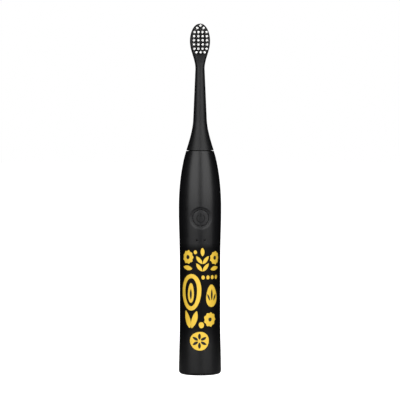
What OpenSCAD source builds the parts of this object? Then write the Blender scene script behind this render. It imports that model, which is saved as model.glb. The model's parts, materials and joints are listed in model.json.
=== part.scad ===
// Slim sonic toothbrush standing on its base. +Z runs up the handle, the bristles, button and
// lamps face -Y, and the origin is the centre of the face that it stands on.

/* [Overall] */
// Height of the handle, base to the lip under the brush head
handle_h = 153; // [146:0.5:185]
// Length of the brush head, skirt to tip
head_l = 86.6; // [80:0.1:110]
// Gap between the handle's lip and the brush head's skirt
head_gap = 0.4; // [0.4:0.1:2]

/* [Handle outline] */
// Diameter at the handle's widest point, its belly
belly_d = 29; // [27.5:0.1:36]
// Height of the belly
belly_z = 113.5; // [110:0.5:118]
// Diameter of the waist
waist_d = 27.9; // [26.8:0.1:33]
// Height where the waist starts to widen into the belly
rise_z = 70; // [60:1:80]
// Diameter just above the rounded foot
base_d = 29.1; // [27.5:0.1:35]
// Height where the foot's flare has died away
flare_h = 36; // [20:1:45]
// Radius of the foot's rounded corner
foot_r = 1.9; // [1:0.1:3]
// Diameter of the lip at the top of the handle
lip_d = 18.9; // [18.6:0.1:21]
// Wall of the handle shell
wall = 2; // [1.4:0.1:2.4]

/* [Button and lamps] */
// Height of the power button's centre
button_z = 107.5; // [102:0.5:110]
// Diameter of the power button
button_d = 11; // [10:0.1:14.6]
// Width of the shallow dish around the button
dish_w = 2; // [1:0.1:2.4]
// Depth of that dish
dish_depth = 0.2; // [0.2:0.05:0.6]
// How far the button travels
button_travel = 0.35; // [0.2:0.05:0.4]
// Height of the two indicator lamps
lamp_z = 92.3; // [86:0.1:93]
// Distance between the two lamps
lamp_pitch = 5.3; // [4:0.1:7]
// Diameter of each light pipe
lamp_d = 1.2; // [0.8:0.1:1.6]

/* [Charging base] */
// Diameter of the charging socket
socket_d = 9.2; // [8:0.1:11.2]
// Depth of the charging socket
socket_depth = 14; // [12:0.5:17]
// Thickness of the base cap's disc
cap_t = 4.2; // [4:0.1:5]

/* [Battery and board] */
// Diameter of the battery cell with its wrap
cell_d = 14; // [10:0.1:16.8]
// Length of the battery cell
cell_l = 49; // [40:1:50]
// Width of the circuit board
board_w = 12; // [10:0.1:13]
// Thickness of the circuit board
board_t = 1; // [0.8:0.1:1.2]

/* [Motor and shaft] */
// Diameter of the motor can
motor_d = 16; // [14:0.1:16.6]
// Length of the motor can
motor_l = 50; // [44:1:52]
// Diameter of the drive shaft
shaft_d = 3.8; // [3:0.1:4.8]
// How far the shaft stands out of the handle's lip
shaft_out = 22; // [18:0.5:26]

/* [Brush head] */
// Width of the bristle plate
plate_w = 13.8; // [12.6:0.1:16]
// Height of the plate above its widest point
plate_top = 12; // [11:0.5:14]
// Length over which the neck widens into the plate
plate_blend = 19; // [14:0.5:24]
// Diameter of the neck under the plate
neck_d = 6.3; // [5.6:0.1:7.4]
// Diameter of the neck where the skirt's flare ends
root_d = 9.3; // [8.4:0.1:11]
// Height of the skirt's flare
skirt_h = 21.2; // [18:0.1:26]
// Wall of the skirt
skirt_wall = 1.4; // [1:0.1:1.5]
// Distance of the plate's front face from the axis
plate_front = 2.9; // [2.5:0.1:3.4]
// Distance of the plate's back from the axis
plate_back = 2.3; // [1.8:0.1:2.8]
// Diameter of a tuft
tuft_d = 1.65; // [1.4:0.05:1.9]
// How far the tufts stand out of the plate
tuft_out = 10.4; // [8:0.1:11]

/* [Hidden] */
$fn = 96;

// Clearances: a running fit on the shaft, a guided sliding fit, and a gap between loose neighbours
run_gap = 0.05;
slide_gap = 0.1;
loose_gap = 0.3;
over = 0.1;          // how far a cutting tool runs past the face that it cuts
lip_r = 0.2;         // rounding of the two lips at the head's gap

// Handle outline
belly_r = belly_d / 2;
waist_r = waist_d / 2;
base_r = base_d / 2;
lip_z = handle_h - lip_r;
shoulder_h = (handle_h - belly_z) / sqrt(1 - pow(lip_d / belly_d, 2));
rise_power = 1.3;
bore_r = waist_r - wall;

// Base and charging coil
cap_r = bore_r - run_gap;
socket_r = socket_d / 2;
boss_r = socket_r + 1.4;
boss_top = socket_depth + 1.5;
seal_r = 0.65;
bobbin_z = cap_t + slide_gap;
bobbin_h = boss_top - bobbin_z - 1;
bobbin_r = min(10.2, bore_r - 1);
flange_t = 0.8;
hub_r = boss_r + run_gap + 0.8;

// Chassis, battery and board
chassis_r = bore_r - 0.15;
chassis_wall = 1.3;
floor_z = boss_top + loose_gap;
floor_t = 1.5;
cell_z = floor_z + floor_t + 0.5;
wrap_t = 0.15;
pad_w = 8;
pad_t = 1.1;
pad_back = sqrt(pow(chassis_r - chassis_wall, 2) - pow(pad_w / 2, 2)) - 0.02;
cell_y = pad_back - pad_t - 0.02 - cell_d / 2;
bulkhead_z = cell_z + cell_l + 6;
bulkhead_t = 1.5;
upper_z = bulkhead_z + bulkhead_t + slide_gap;
upper_floor_t = 3;
button_r = button_d / 2;
board_front = 9.6;
board_back = board_front - board_t;
board_bottom = floor_z + 6;
board_top = button_z + 10;
chip_t = 0.9;
switch_front = board_front + 1.2;
plunger_front = board_front + 1.8;

// Motor
motor_r = motor_d / 2;
motor_top = handle_h - 14;
motor_z = motor_top - motor_l;
can_wall = 0.5;
hoop_r = motor_r + 1;
hoop_outer = min(chassis_r, inner_r(motor_top - 2) - slide_gap);
hoop_h = 3;
low_hoop_z = motor_z + 2;
high_hoop_z = motor_top - 8;
shaft_r = shaft_d / 2;
bearing_r = shaft_r + 2.1;
bearing_h = 4;
end_cap_h = 6;
core_h = 24;
core_z = motor_z + (motor_l - core_h) / 2;
rotor_r = shaft_r + 1.5;
magnet_r = rotor_r + 1.4;
pole_r = magnet_r + 0.4;
core_in = motor_r - can_wall - 1.3;
core_out = motor_r - can_wall - 0.05;
shaft_bottom = motor_z + 3;
shaft_top = handle_h + shaft_out;
flat_y = 0.68 * shaft_r;
flat_z = handle_h + 10;

// Nose of the handle
nose_r = lip_d / 2 - 1.9;
rim_r = lip_d / 2 - 1.25;
rim_h = 0.2;
nose_flange_r = nose_r + 0.4;
seal_out = shaft_r + 1.9;
nose_top = handle_h + 5;
nose_base = handle_h - 6;

// Brush head
head_z = handle_h + head_gap;
total_h = head_z + head_l;
head_lip_r = lip_d / 2 - 0.05;
flare_top_z = head_z + skirt_h;
plate_mid = total_h - plate_top;
neck_z = plate_mid - plate_blend;
skirt_slope = -0.31;
neck_slope = (neck_d - root_d) / 2 / (neck_z - flare_top_z);
coupling_z = head_z + 8.1;
coupling_h = shaft_top - coupling_z + 4;
coupling_r = shaft_r + 1.05;
clip_z = flat_z + 4;
clip_h = 7;
clip_w = 1.8;
clip_t = 0.4;
clip_y = flat_y + 0.25;
tuft_r = tuft_d / 2;
tuft_root = 2.4;
anchor_h = 0.9;
anchor_t = 0.25;
// Each row of tufts: how many, their spacing, and the row's depth below the head's tip
tuft_rows = [
    [1, 0, 1.9], [2, 4.2, 3.5], [4, 2.7, 6.3], [4, 2.9, 9.1],
    [4, 2.95, 11.9], [4, 2.95, 14.7], [4, 2.75, 17.6], [3, 2.75, 20]
];

// ---- outlines -----------------------------------------------------------------------------

function ease(t) = (1 - cos(180 * t)) / 2;

// Radius of the handle's outside at height z
function handle_r(z) =
    z < foot_r ? base_r - foot_r + sqrt(pow(foot_r, 2) - pow(foot_r - z, 2))
    : z < flare_h ? base_r + (waist_r - base_r) * ease((z - foot_r) / (flare_h - foot_r))
    : z < rise_z ? waist_r
    : z < belly_z ? waist_r
        + (belly_r - waist_r) * pow(ease((z - rise_z) / (belly_z - rise_z)), rise_power)
    : belly_r * sqrt(1 - pow((z - belly_z) / shoulder_h, 2));

// Radius of the shell's inside: a straight bore for the chassis, then following the shoulder
function inner_r(z) = min(bore_r, handle_r(z) - wall);

// Heights from a to b in n equal steps
function steps(a, b, n) = [for (i = [0:n]) a + (b - a) * i / n];

handle_line = concat(
    [for (i = [0:6]) let (a = 15 * i)
        [base_r - foot_r + foot_r * sin(a), foot_r - foot_r * cos(a)]],
    [for (z = steps(foot_r + 2, flare_h, 9)) [handle_r(z), z]],
    [for (z = steps(rise_z, belly_z, 12)) [handle_r(z), z]],
    [for (z = steps(belly_z + 2, lip_z, 16)) [handle_r(z), z]],
    [for (i = [1:3]) let (a = 30 * i)
        [handle_r(lip_z) - lip_r + lip_r * cos(a), lip_z + lip_r * sin(a)]]
);

// Radius of the brush head's outside: a cubic from the skirt into the neck, then a straight taper
function hermite(a, b, slope_a, slope_b, h, t) =
    a * (2 * pow(t, 3) - 3 * t * t + 1) + b * (3 * t * t - 2 * pow(t, 3))
    + h * (slope_a * (pow(t, 3) - 2 * t * t + t) + slope_b * (pow(t, 3) - t * t));
function head_r(z) = z < flare_top_z
    ? hermite(head_lip_r, root_d / 2, skirt_slope, neck_slope, skirt_h, (z - head_z) / skirt_h)
    : root_d / 2 + neck_slope * (z - flare_top_z);

// Half-width of the bristle plate: a half-cosine up from the neck, then half an ellipse
function plate_half(z) = z < plate_mid
    ? neck_d / 2 + (plate_w - neck_d) / 2 * ease((z - neck_z) / plate_blend)
    : plate_w / 2 * sqrt(max(0, 1 - pow((z - plate_mid) / plate_top, 2)));

// ---- shared shapes ------------------------------------------------------------------------

module ring(outer, inner, h) {
    difference() {
        cylinder(r = outer, h = h);
        translate([0, 0, -over]) cylinder(r = inner, h = h + 2 * over);
    }
}

// A cylinder along Y from y0 to y1, at the origin's height
module along_y(r, y0, y1) {
    translate([0, y0, 0]) rotate([-90, 0, 0]) cylinder(r = r, h = y1 - y0);
}

// A box centred in X, from y0 to y1 and z0 to z1
module slab(w, y0, y1, z0, z1) {
    translate([-w / 2, y0, z0]) cube([w, y1 - y0, z1 - z0]);
}

// The handle's outer solid, shrunk by inset all round
module handle_solid(inset) {
    rotate_extrude() polygon(concat(
        [[0, 0]],
        [for (p = handle_line) [p[0] - inset, p[1]]],
        [[0, handle_h]]
    ));
}

// A round wire through a list of points
module wire(points, r) {
    for (i = [0:len(points) - 2]) {
        step = points[i + 1] - points[i];
        translate(points[i]) {
            sphere(r = r, $fn = 24);
            rotate([0, acos(step[2] / norm(step)), atan2(step[1], step[0])])
                cylinder(r = r, h = norm(step), $fn = 24);
        }
    }
    translate(points[len(points) - 1]) sphere(r = r, $fn = 24);
}

// Places its children at each tuft's centre on the plate's front
module at_tufts() {
    for (row = tuft_rows)
        for (i = [0:row[0] - 1])
            translate([(i - (row[0] - 1) / 2) * row[1], -plate_front, total_h - row[2]])
                children();
}

// ---- handle -------------------------------------------------------------------------------

module handle_shell() {
    color("#17181a") difference() {
        union() {
            rotate_extrude() polygon(concat(
                handle_line,
                [
                    [rim_r, handle_h], [rim_r, handle_h + rim_h],
                    [nose_r + run_gap, handle_h + rim_h], [nose_r + run_gap, handle_h - wall]
                ],
                [for (z = steps(handle_h - wall, belly_z + 4, 12)) [inner_r(z), z]],
                [[bore_r, 0]]
            ));
            intersection() {
                translate([0, 0, button_z])
                    along_y(button_r + 2.2, -belly_r, -board_front - 1);
                handle_solid(wall / 3);
            }
        }
        translate([0, 0, button_z]) {
            along_y(button_r + slide_gap, -belly_r - over, -bore_r / 2);
            along_y(button_r + 0.75, -board_front - 1.35, -bore_r / 2);
        }
        difference() {
            translate([0, 0, button_z]) along_y(button_r + dish_w, -belly_r - over, -bore_r / 2);
            handle_solid(dish_depth);
        }
        for (side = [-1, 1])
            translate([side * lamp_pitch / 2, 0, lamp_z])
                along_y(lamp_d / 2 + run_gap / 2, -belly_r, -bore_r / 2);
    }
}

module base_cap() {
    color("#101113") difference() {
        union() {
            cylinder(r = cap_r, h = cap_t);
            cylinder(r = boss_r, h = boss_top);
        }
        translate([0, 0, -over]) cylinder(r = socket_r, h = socket_depth + over);
        translate([0, 0, cap_t / 2 - seal_r - run_gap])
            ring(cap_r + 1, bore_r - 2 * seal_r - run_gap, 2 * (seal_r + run_gap));
    }
}

module base_seal_ring() {
    color("#7d2b22") rotate_extrude()
        translate([bore_r - seal_r - run_gap / 2, cap_t / 2]) circle(r = seal_r, $fn = 48);
}

module coil_bobbin() {
    color("#d8d2c4") translate([0, 0, bobbin_z]) difference() {
        union() {
            cylinder(r = bobbin_r, h = flange_t);
            cylinder(r = hub_r, h = bobbin_h);
            translate([0, 0, bobbin_h - flange_t]) cylinder(r = bobbin_r, h = flange_t);
        }
        translate([0, 0, -over]) cylinder(r = boss_r + run_gap, h = bobbin_h + 2 * over);
    }
}

module receiver_coil() {
    color("#b8652a") translate([0, 0, bobbin_z + flange_t])
        ring(bobbin_r - 0.5, hub_r, bobbin_h - 2 * flange_t);
}

// The two leads go up from the coil's rim, through the chassis floor's notch, to the board
module coil_leads() {
    lead_r = 0.35;
    start_z = bobbin_z + bobbin_h + lead_r + run_gap;
    color("#b3202a") for (x = [-3.2, 3.2])
        wire([
            [x, -bobbin_r + 1, start_z],
            [x, -board_back + lead_r + 0.1, start_z],
            [x, -board_back + lead_r + 0.1, board_bottom + 2]
        ], lead_r);
}

// Half tube behind the cell, closed by a floor below it and a bulkhead above it
module lower_chassis() {
    color("#c9c6bd") difference() {
        union() {
            translate([0, 0, floor_z]) difference() {
                cylinder(r = chassis_r, h = bulkhead_z + bulkhead_t - floor_z);
                translate([0, 0, -over])
                    cylinder(r = chassis_r - chassis_wall, h = bulkhead_z + 2 * bulkhead_t);
                slab(3 * chassis_r, -2 * chassis_r, -1, -over, bulkhead_z + 2 * bulkhead_t);
            }
            translate([0, 0, floor_z]) cylinder(r = chassis_r, h = floor_t);
            translate([0, 0, bulkhead_z]) cylinder(r = chassis_r, h = bulkhead_t);
        }
        slab(board_w + 2, -2 * chassis_r, -board_back + 0.1, floor_z - over, upper_z);
        slab(8, -2 * chassis_r, -board_back + 1.2, floor_z - over, floor_z + floor_t + over);
        chassis_screw_places() cylinder(r = 0.85, h = 8, $fn = 48);
    }
}

module battery_cell() {
    color("#8f959b") translate([0, cell_y, cell_z]) {
        cylinder(r = cell_d / 2 - wrap_t, h = cell_l - 1);
        cylinder(r = 2.7, h = cell_l);
    }
}

module battery_wrap() {
    color("#2f6fae") translate([0, cell_y, cell_z + 0.4])
        ring(cell_d / 2, cell_d / 2 - wrap_t, cell_l - 1.8);
}

module battery_pad() {
    color("#3a3a3c") slab(pad_w, pad_back - pad_t, pad_back, cell_z + 6, cell_z + cell_l - 6);
}

// Nickel strips from the cell's ends forward to the board
module battery_tab_top() {
    top = cell_z + cell_l;
    color("#c9ccd0") union() {
        slab(4, -board_back + 0.02, cell_y + 2.5, top, top + 0.2);
        slab(4, -board_back + 0.02, -board_back + 0.22, top - 3, top + 0.1);
    }
}

module battery_tab_bottom() {
    color("#c9ccd0") union() {
        slab(4, -board_back + 0.02, cell_y + 2.5, cell_z - 0.2, cell_z);
        slab(4, -board_back + 0.02, -board_back + 0.22, cell_z - 0.1, board_bottom + 5);
    }
}

module circuit_board() {
    color("#1e5b35") difference() {
        slab(board_w, -board_front, -board_back, board_bottom, board_top);
        board_screw_places() along_y(0.85, -over, board_t + over);
    }
}

module control_chip() {
    color("#202225") slab(
        5, -board_front - chip_t, -board_front, cell_z + 28, cell_z + 33
    );
}

module charge_inductor() {
    color("#4a4c50") translate([0, 0, cell_z + cell_l + 3])
        along_y(2, -board_back, -board_back + 2.5);
}

module capacitors() {
    color("#a98b62") for (i = [0:5])
        translate([-3.2 + 3.2 * (i % 3), 0, 6 * floor(i / 3)])
            slab(1.2, -board_front - 0.7, -board_front, cell_z + 36, cell_z + 38);
}

module lamp(side) {
    color("#e9e7da") translate([side * lamp_pitch / 2, 0, 0])
        slab(1.6, -board_front - 0.6, -board_front, lamp_z - 0.4, lamp_z + 0.4);
}

module lamp_left() { lamp(-1); }

module lamp_right() { lamp(1); }

module light_pipe(side) {
    color("#2a2a2c") intersection() {
        translate([side * lamp_pitch / 2, 0, lamp_z])
            along_y(lamp_d / 2, -belly_r - 1, -board_front - 0.65);
        handle_solid(0.05);
    }
}

module light_pipe_left() { light_pipe(-1); }

module light_pipe_right() { light_pipe(1); }

module switch_body() {
    color("#3c3e42") difference() {
        slab(4, -switch_front, -board_front, button_z - 2, button_z + 2);
        translate([0, 0, button_z])
            along_y(1.1 + run_gap, -switch_front - over, -board_front - 0.3);
    }
}

module switch_plunger() {
    color("#d9d7cf") translate([0, 0, button_z])
        along_y(1.1, -plunger_front, -board_front - 0.3 - button_travel - run_gap);
}

// ---- power button -------------------------------------------------------------------------

module power_button() {
    seat = board_front + 1.25;
    color("#1c1d1f") difference() {
        union() {
            intersection() {
                translate([0, 0, button_z]) along_y(button_r, -belly_r - 1, -seat + 0.2);
                handle_solid(0.12);
            }
            translate([0, 0, button_z]) along_y(button_r + 0.6, -seat, -seat + 0.4);
        }
        translate([0, 0, button_z]) {
            along_y(3.3, -plunger_front, -bore_r / 2);
            difference() {
                along_y(button_r + 0.4, -seat - 0.95, -seat - 0.15);
                along_y(button_r - 0.75, -seat - 2, -seat + 2);
            }
        }
    }
}

module button_seal() {
    color("#7d2b22") translate([0, -board_front - 1.8, button_z]) rotate([90, 0, 0])
        rotate_extrude() translate([button_r - 0.33, 0]) circle(r = 0.38, $fn = 48);
}

// ---- motor --------------------------------------------------------------------------------

module upper_chassis() {
    color("#c9c6bd") difference() {
        union() {
            translate([0, 0, upper_z]) cylinder(r = chassis_r, h = upper_floor_t);
            for (z = [low_hoop_z, high_hoop_z]) {
                translate([0, 0, z]) cylinder(r = hoop_outer, h = hoop_h);
            }
            translate([0, 0, upper_z]) difference() {
                cylinder(r = hoop_outer, h = high_hoop_z + hoop_h - upper_z);
                slab(
                    3 * chassis_r, -2 * chassis_r, motor_r * 0.4,
                    -over, high_hoop_z + 2 * hoop_h
                );
            }
        }
        translate([0, 0, upper_z + upper_floor_t])
            cylinder(r = hoop_r, h = motor_top - upper_z);
        slab(board_w + 0.1, -2 * chassis_r, -board_back + 0.01, upper_z - over, motor_top);
        chassis_screw_places() cylinder(r = 0.8, h = 8, $fn = 48);
        board_screw_places() along_y(0.8, -2, 5);
    }
}

module chassis_screw_places() {
    for (x = [-1, 1])
        translate([x * (chassis_r - 3.5), 3, bulkhead_z - 1]) children();
}

module chassis_screws() {
    color("#9da1a6") chassis_screw_places() {
        cylinder(r = 0.8, h = 1 + bulkhead_t + slide_gap + upper_floor_t - 0.5, $fn = 48);
        translate([0, 0, 0.1]) cylinder(r = 1.5, h = 0.9, $fn = 48);
    }
}

module board_screw_places() {
    for (x = [-3.5, 3.5])
        translate([x, -board_front, upper_z + upper_floor_t / 2]) children();
}

module board_screws() {
    color("#9da1a6") board_screw_places() {
        along_y(0.8, -0.1, 4.9);
        along_y(1.4, -0.7, 0);
    }
}

module motor_can() {
    color("#a7abb0") translate([0, 0, motor_z]) difference() {
        cylinder(r = motor_r, h = motor_l);
        translate([0, 0, -over]) cylinder(r = motor_r - can_wall, h = motor_l - can_wall + over);
        cylinder(r = shaft_r + 0.6, h = motor_l + over);
    }
}

module motor_base_cap() {
    color("#2d2f33") translate([0, 0, motor_z]) difference() {
        cylinder(r = core_out, h = end_cap_h);
        translate([0, 0, end_cap_h - bearing_h]) cylinder(r = bearing_r, h = bearing_h + over);
    }
}

module motor_top_plate() {
    color("#2d2f33") translate([0, 0, motor_top - can_wall - end_cap_h]) difference() {
        cylinder(r = core_out, h = end_cap_h);
        translate([0, 0, -over]) cylinder(r = bearing_r, h = bearing_h + over);
        cylinder(r = shaft_r + 0.6, h = end_cap_h + over);
    }
}

module bearing() {
    color("#c7a04c") ring(bearing_r, shaft_r + run_gap, bearing_h);
}

module lower_bearing() {
    translate([0, 0, motor_z + end_cap_h - bearing_h]) bearing();
}

module upper_bearing() {
    translate([0, 0, motor_top - can_wall - end_cap_h]) bearing();
}

// Laminated ring with two poles that reach in towards the magnets
module stator_core() {
    color("#6d7176") translate([0, 0, core_z]) {
        ring(core_out, core_in, core_h);
        difference() {
            slab(2 * core_in + 0.2, -1.6, 1.6, 3, core_h - 3);
            translate([0, 0, -over]) cylinder(r = pole_r, h = core_h + 2 * over);
        }
    }
}

module stator_coil(side) {
    color("#b8652a") difference() {
        intersection() {
            translate([0, 0, core_z + 1.5]) ring(core_in - 0.05, pole_r + 0.1, core_h - 3);
            translate([side * core_in, 0, core_z + core_h / 2])
                cube([core_in, 5.6, core_h], center = true);
        }
        slab(4 * core_in, -1.65, 1.65, core_z + 2.95, core_z + core_h - 2.95);
    }
}

module stator_coil_left() { stator_coil(-1); }

module stator_coil_right() { stator_coil(1); }

// Rubber ring between the can and a chassis hoop, flattened where the board passes
module motor_damper(z) {
    color("#26272a") difference() {
        translate([0, 0, z]) ring(hoop_r, motor_r, hoop_h);
        slab(board_w + 1, -2 * hoop_r, -board_back + 0.02, z - over, z + hoop_h + over);
    }
}

module lower_motor_damper() { motor_damper(low_hoop_z); }

module upper_motor_damper() { motor_damper(high_hoop_z); }

module motor_leads() {
    lead_r = 0.3;
    color("#d6b52c") for (x = [-2.5, 2.5])
        wire([
            [x, -4, motor_z - lead_r],
            [x, -board_back + lead_r + 0.05, motor_z - lead_r],
            [x, -board_back + lead_r + 0.05, upper_z + upper_floor_t + 1]
        ], lead_r);
}

// ---- nose ---------------------------------------------------------------------------------

module nose_collar() {
    color("#0d0e0f") rotate_extrude() polygon([
        [seal_out, nose_base], [nose_flange_r - 1, nose_base],
        [nose_flange_r, nose_base + 1], [nose_flange_r, handle_h - wall],
        [nose_r, handle_h - wall], [nose_r, handle_h + 0.3],
        [nose_r - 0.3, handle_h + 0.6], [seal_out + 1.2, nose_top - 0.4],
        [seal_out + 0.8, nose_top], [seal_out, nose_top]
    ]);
}

module shaft_seal() {
    color("#232427") rotate_extrude() polygon([
        [shaft_r + run_gap, nose_base], [seal_out, nose_base], [seal_out, nose_top],
        [shaft_r + 0.6, nose_top + 1.4], [shaft_r + run_gap, nose_top + 1.4]
    ]);
}

// ---- drive --------------------------------------------------------------------------------

module drive_shaft() {
    color("#c3c7cb") difference() {
        union() {
            translate([0, 0, shaft_bottom]) cylinder(r = shaft_r, h = shaft_top - shaft_bottom - 0.4);
            translate([0, 0, shaft_top - 0.4]) cylinder(r1 = shaft_r, r2 = shaft_r - 0.4, h = 0.4);
        }
        slab(2 * shaft_d, flat_y, shaft_d, flat_z, shaft_top + over);
    }
}

module rotor_core() {
    color("#5d6166") translate([0, 0, core_z]) ring(rotor_r, shaft_r, core_h);
}

module rotor_magnet(side) {
    color("#aeb2b8") intersection() {
        translate([0, 0, core_z + 2]) ring(magnet_r, rotor_r, core_h - 4);
        translate([side * magnet_r, 0, core_z + core_h / 2])
            cube([2 * magnet_r - 2, 1.5 * magnet_r, core_h], center = true);
    }
}

module rotor_magnet_left() { rotor_magnet(-1); }

module rotor_magnet_right() { rotor_magnet(1); }

module shaft_circlip() {
    color("#8b8f94") translate([0, 0, motor_top + loose_gap]) difference() {
        ring(shaft_r + 1.3, shaft_r, 0.5);
        slab(1.4, 0, 2 * shaft_d, -over, 1);
    }
}

// ---- brush head ---------------------------------------------------------------------------

// Skirt, neck and egg-shaped top as one turned body
module head_blank() {
    rotate_extrude() polygon(concat(
        [[0, head_z], [head_lip_r - lip_r, head_z]],
        [for (i = [1:3]) let (a = 30 * i)
            [head_lip_r - lip_r + lip_r * sin(a), head_z + lip_r - lip_r * cos(a)]],
        [for (z = steps(head_z + 1.5, flare_top_z, 14)) [head_r(z), z]],
        [for (z = steps(neck_z, plate_mid, 14)) [plate_half(z), z]],
        [for (a = [6:6:84]) [plate_w / 2 * cos(a), plate_mid + plate_top * sin(a)]],
        [[0, total_h]]
    ));
}

// The turned blank, faced flat in front for the bristles and thinned behind
module brush_head_shell() {
    skirt_roof = coupling_z + 1;
    color("#17181a") difference() {
        head_blank();
        rotate([90, 0, 90]) translate([0, 0, -plate_w]) linear_extrude(2 * plate_w) {
            polygon([
                [-plate_w, neck_z], [-neck_d / 2, neck_z], [-plate_front, neck_z + 4],
                [-plate_front, total_h + 1], [-plate_w, total_h + 1]
            ]);
            polygon([
                [plate_w, neck_z - 1], [neck_d / 2 + 0.1, neck_z - 1],
                [plate_back + 0.45, neck_z + 5], [plate_back, plate_mid],
                [plate_back - 0.4, total_h - 2], [plate_back - 0.8, total_h + 1],
                [plate_w, total_h + 1]
            ]);
        }
        rotate_extrude() polygon(concat(
            [[0, head_z - over], [head_r(head_z) - skirt_wall, head_z - over]],
            [for (z = steps(head_z, skirt_roof, 6)) [head_r(z) - skirt_wall, z]],
            [[0, skirt_roof]]
        ));
        translate([0, 0, coupling_z]) cylinder(r = coupling_r, h = coupling_h);
        at_tufts() along_y(tuft_r, -over, tuft_root);
    }
}

module head_coupling() {
    color("#d9d7cf") difference() {
        translate([0, 0, coupling_z]) cylinder(r = coupling_r, h = coupling_h);
        translate([0, 0, coupling_z - over])
            cylinder(r = shaft_r + run_gap, h = flat_z + 1 - coupling_z + over);
        intersection() {
            translate([0, 0, flat_z]) cylinder(r = shaft_r + run_gap, h = shaft_top + 1 - flat_z);
            slab(2 * shaft_d, -shaft_d, flat_y + run_gap, flat_z, shaft_top + 1);
        }
        slab(clip_w, clip_y, clip_y + clip_t, clip_z, clip_z + clip_h);
    }
}

module retention_clip() {
    color("#b9bdc2") slab(clip_w, clip_y, clip_y + clip_t, clip_z, clip_z + clip_h);
}

module bristle_tufts() {
    color("#f4f4f2") difference() {
        at_tufts() along_y(tuft_r, -tuft_out, tuft_root, $fn = 24);
        tuft_anchors();
    }
}

module tuft_anchors() {
    color("#c8a24a") at_tufts()
        slab(2 * tuft_r - 0.2, tuft_root - anchor_h, tuft_root, -anchor_t / 2, anchor_t / 2);
}

handle_shell();
base_cap();
base_seal_ring();
coil_bobbin();
receiver_coil();
coil_leads();
lower_chassis();
battery_cell();
battery_wrap();
battery_pad();
battery_tab_top();
battery_tab_bottom();
circuit_board();
control_chip();
charge_inductor();
capacitors();
lamp_left();
lamp_right();
light_pipe_left();
light_pipe_right();
switch_body();
upper_chassis();
chassis_screws();
board_screws();
motor_can();
motor_base_cap();
motor_top_plate();
stator_core();
stator_coil_left();
stator_coil_right();
lower_bearing();
upper_bearing();
lower_motor_damper();
upper_motor_damper();
motor_leads();
nose_collar();
shaft_seal();
drive_shaft();
rotor_core();
rotor_magnet_left();
rotor_magnet_right();
shaft_circlip();
brush_head_shell();
head_coupling();
retention_clip();
bristle_tufts();
tuft_anchors();
power_button();
button_seal();
switch_plunger();
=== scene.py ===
import json
import logging
import math
import random
from collections import Counter
from collections.abc import Callable
from dataclasses import dataclass, field
from enum import Enum

import bmesh
import bpy
from mathutils import Matrix, Vector


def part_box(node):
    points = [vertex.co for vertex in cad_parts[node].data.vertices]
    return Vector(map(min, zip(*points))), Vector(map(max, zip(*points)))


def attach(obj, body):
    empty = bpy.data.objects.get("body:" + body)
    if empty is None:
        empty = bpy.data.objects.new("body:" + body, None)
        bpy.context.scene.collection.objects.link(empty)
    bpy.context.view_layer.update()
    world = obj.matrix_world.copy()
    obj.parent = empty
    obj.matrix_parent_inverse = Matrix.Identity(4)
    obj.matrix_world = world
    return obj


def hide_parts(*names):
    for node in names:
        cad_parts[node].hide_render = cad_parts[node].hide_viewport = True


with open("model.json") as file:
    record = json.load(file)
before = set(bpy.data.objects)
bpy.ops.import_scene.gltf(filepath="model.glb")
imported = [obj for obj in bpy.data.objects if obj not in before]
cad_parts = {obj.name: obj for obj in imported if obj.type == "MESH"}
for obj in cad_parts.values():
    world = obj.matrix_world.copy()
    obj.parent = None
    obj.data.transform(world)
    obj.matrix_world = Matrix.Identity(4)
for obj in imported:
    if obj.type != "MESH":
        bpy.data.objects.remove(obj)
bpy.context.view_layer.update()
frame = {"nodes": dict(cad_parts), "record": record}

MM = 0.001
WELD = 0.0005
WAVE_UNIT = math.pi / 10  # a wave texture of scale 1 repeats every pi/10 of its coordinate
CRISP_ANGLE = 32  # degrees between two faces of a CAD node past which their edge stays crisp

NOISE = "ShaderNodeTexNoise"
VORONOI = "ShaderNodeTexVoronoi"
WAVE = "ShaderNodeTexWave"
BRICK = "ShaderNodeTexBrick"
MAPPING = "ShaderNodeMapping"
MAP_RANGE = "ShaderNodeMapRange"
PRINCIPLED = "ShaderNodeBsdfPrincipled"

Tree = bpy.types.NodeTree
Socket = bpy.types.NodeSocket
BMesh = bmesh.types.BMesh
Edges = list[bmesh.types.BMEdge]
Faces = list[bmesh.types.BMFace]
Outline = list[tuple[float, float]]
Move = Callable[[Vector], Vector]

log = logging.getLogger("toothbrush")


# ---- small helpers ----


def linear(hex_colour: str) -> tuple[float, float, float, float]:
    """Turns an sRGB hex colour into the linear values that a shader reads.

    Args:
        hex_colour: six hex digits, with or without a leading hash.

    Returns:
        Red, green, blue and an alpha of one.
    """
    digits = hex_colour.lstrip("#")
    channels = [int(digits[i : i + 2], 16) / 255 for i in (0, 2, 4)]
    turned = [c / 12.92 if c <= 0.04045 else ((c + 0.055) / 1.055) ** 2.4 for c in channels]
    return (turned[0], turned[1], turned[2], 1.0)


def per_mm(size: float) -> float:
    """The texture scale whose features are size millimetres across."""
    return 1 / (size * MM)


def add_node(
    tree: Tree, kind: str, settings: dict | None = None, inputs: dict | None = None
) -> bpy.types.Node:
    """Adds one shader node with its settings and links.

    Args:
        tree: the node tree that it goes into.
        kind: Blender's name for the node type.
        settings: attribute names and their values.
        inputs: socket names or numbers, each with a value or with the output that feeds it.

    Returns:
        The new node.
    """
    node = tree.nodes.new(kind)
    for name, value in (settings or {}).items():
        setattr(node, name, value)
    for name, value in (inputs or {}).items():
        if isinstance(value, Socket):
            tree.links.new(value, node.inputs[name])
        else:
            node.inputs[name].default_value = value
    return node


def blank_tree(owner: bpy.types.Material | bpy.types.World) -> Tree:
    """Turns a material's or a world's nodes on and clears them."""
    owner.use_nodes = True
    owner.node_tree.nodes.clear()
    return owner.node_tree


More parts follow.
